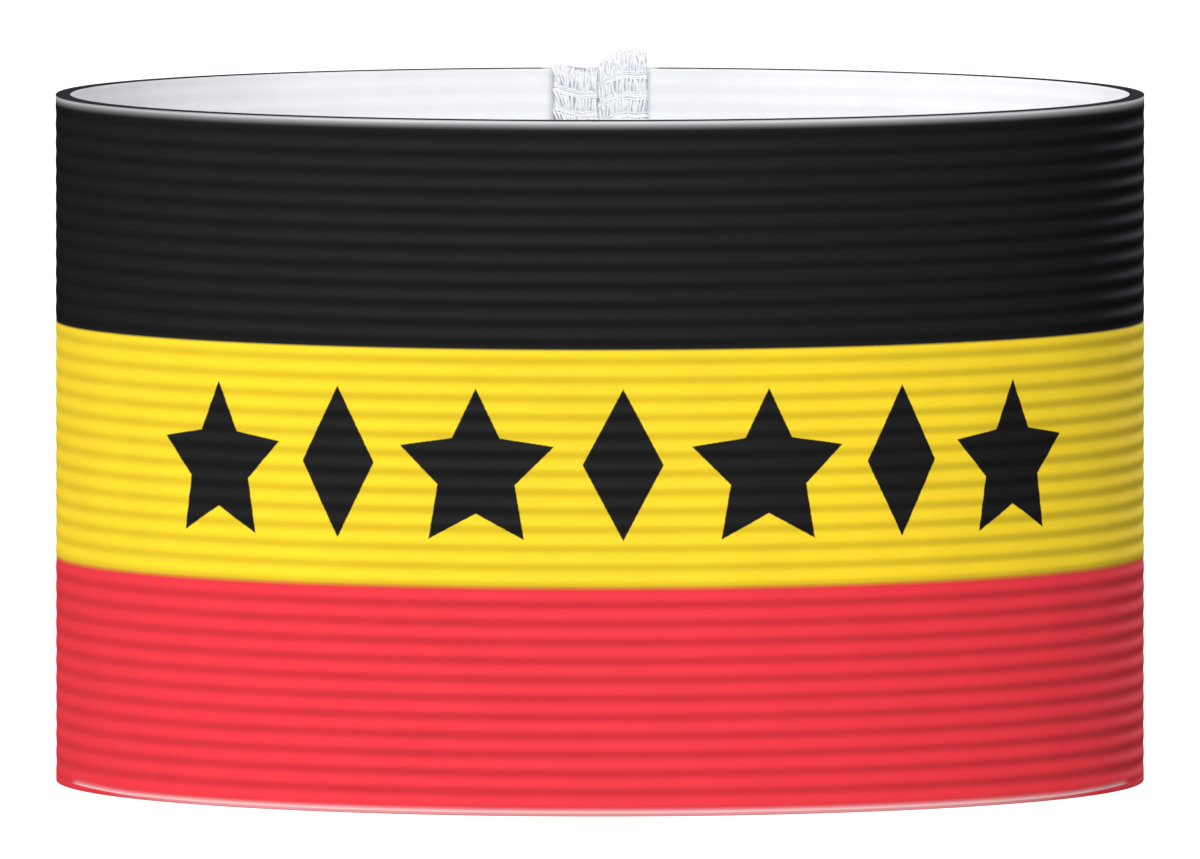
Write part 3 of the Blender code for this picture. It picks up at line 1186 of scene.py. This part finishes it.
def make_turned_end(end, cloth, thread, trees, top, wall_radius):
    wrapping = {
        "Side": float(end.side),
        "Wall Radius": wall_radius,
        "Width": end.width,
        "Rise": end.rise,
        "Rise From": end.rise_from,
        "Rise To": end.rise_to,
    }
    flat = flat_end(end, f"{end.node}_cloth", top)
    body = run_geometry_nodes(flat, trees["end"], {"Cloth": cloth, **wrapping})
    body.data.set_sharp_from_angle(angle=SHARP_ANGLE)
    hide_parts(end.node)
    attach(body, "root")

    pieces = [body]
    for name, (points, edges), values in strand_kinds(end, top):
        path = object_from_points(f"{end.node}_{name}_thread", points, edges=edges)
        made = run_geometry_nodes(path, trees["strands"], {"Cloth": thread, **values, **wrapping})
        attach(made, "root")
        pieces.append(made)
    return pieces


# The studio


def make_floor():
    half = FLOOR_SIZE / 2
    corners = [(-half, -half, 0), (half, -half, 0), (half, half, 0), (-half, half, 0)]
    floor = object_from_points("floor", corners, faces=[(0, 1, 2, 3)])
    floor.data.materials.append(floor_material())
    floor.visible_diffuse = False
    floor.visible_glossy = False


def make_world():
    world = bpy.data.worlds.new("studio")
    bpy.context.scene.world = world
    world.use_nodes = True
    background = world.node_tree.nodes["Background"]
    background.inputs["Color"].default_value = (1, 1, 1, 1)
    background.inputs["Strength"].default_value = AMBIENT
    world.cycles_visibility.glossy = False


def sun(name, azimuth, elevation, strength, softness, colour=(1, 1, 1)):
    """A sun by where its light comes from, in degrees. Azimuth 0 is in front and 90 at the right."""
    light = bpy.data.lights.new(name, "SUN")
    light.energy = strength
    light.angle = math.radians(softness)
    light.color = colour
    lamp = bpy.data.objects.new(name, light)
    bpy.context.scene.collection.objects.link(lamp)
    turn, rise = math.radians(azimuth), math.radians(elevation)
    level = math.cos(rise)
    towards = Vector((math.sin(turn) * level, -math.cos(turn) * level, math.sin(rise)))
    lamp.rotation_mode = "QUATERNION"
    lamp.rotation_quaternion = towards.to_track_quat("Z", "Y")
    return lamp


def make_lights():
    """Soft suns for the cloth's colour, and weaker ones for its gloss alone."""
    soft_lights = (
        sun("front_light", azimuth=4, elevation=30, strength=3.49, softness=60),
        sun("left_light", azimuth=-100, elevation=14, strength=2.45, softness=30),
        sun("rim_light", azimuth=162, elevation=10, strength=3.3, softness=16, colour=COOL),
    )
    for lamp in soft_lights:
        lamp.visible_glossy = False
    gloss_lights = (
        sun("front_gloss", azimuth=-35, elevation=38, strength=0.58, softness=80),
        sun("rim_gloss", azimuth=160, elevation=24, strength=0.75, softness=16, colour=COOLER),
    )
    for lamp in gloss_lights:
        lamp.visible_diffuse = False


def make_camera():
    camera = bpy.data.cameras.new("camera")
    camera.lens = CAMERA_LENS_MM
    camera.sensor_width = 36
    camera.clip_start = 0.1
    camera.clip_end = 30
    placed = bpy.data.objects.new("camera", camera)
    placed.location = (0, -CAMERA_DISTANCE, CAMERA_HEIGHT)
    placed.rotation_euler = (math.pi / 2 - CAMERA_PITCH, 0, 0)
    bpy.context.scene.collection.objects.link(placed)
    bpy.context.scene.camera = placed


def main():
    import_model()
    _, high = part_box("elastic_band")
    top, outer_radius = high.z, high.x
    groups = {
        "place": loop_place_group(),
        "ribs": ribs_group(),
        "weave": weave_group(),
        "print": motif_print_group(),
    }
    cloth = striped_elastic_material(groups, top, outer_radius)
    tape = make_tape(cloth, top, outer_radius)

    wrap = wrap_group()
    trees = {"end": turned_end_tree(wrap), "strands": strands_tree(wrap)}
    end_cloth, thread = end_material(groups, outer_radius), thread_material()
    wall_radius = outer_radius - TAPE_THICKNESS - END_CLEARANCE
    sewn_on = []
    for end in TURNED_ENDS:
        sewn_on += make_turned_end(end, end_cloth, thread, trees, top, wall_radius)

    make_floor()
    make_world()
    make_lights()
    make_camera()
    bpy.context.scene.view_settings.view_transform = "Standard"


main()
